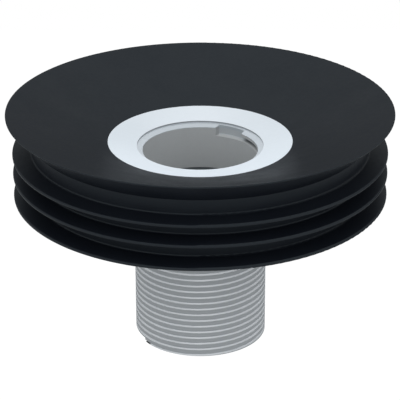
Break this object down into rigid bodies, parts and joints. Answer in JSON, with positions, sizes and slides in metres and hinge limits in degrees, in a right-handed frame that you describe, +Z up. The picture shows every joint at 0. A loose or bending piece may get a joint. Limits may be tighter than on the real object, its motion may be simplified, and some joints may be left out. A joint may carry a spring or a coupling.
{
  "type": "toilet flange",
  "caption": "Pan outlet flange: finned rubber funnel boot clamped by a backnut on a flanged, threaded tailpiece with a bayonet bore.",
  "frame": {"origin": "centre of the tailpiece's open bottom end, on the pipe axis", "axes": "+Z up along the pipe axis, from the threaded end to the funnel's rim; -Y is the side shown in front, +X to its right"},
  "size_m": [0.138, 0.138, 0.0871],
  "materials": {
    "boot_rubber": "matte",
    "tailpiece_plastic": "satin",
    "washer_plastic": "satin",
    "nut_plastic": "satin"
  },
  "bodies": {
    "flange": {"rubber_boot": "boot_rubber", "tailpiece": "tailpiece_plastic"},
    "washer": {"slip_washer": "washer_plastic"},
    "nut": {"backnut": "nut_plastic"}
  },
  "joints": [
    {"name": "nut_travel", "type": "slide", "parent": "flange", "child": "washer", "axis": [0, 0, -1], "range_m": [0, 0.05311]},
    {"name": "nut_spin", "type": "hinge", "parent": "washer", "child": "nut", "pos_m": [0, 0, 0.0602], "axis": [0, 0, -1], "range_deg": [0, 8280]}
  ],
  "couplings": [
    {"joint": "nut_travel", "follows": "nut_spin", "m_per_rad": 0.00036749}
  ]
}
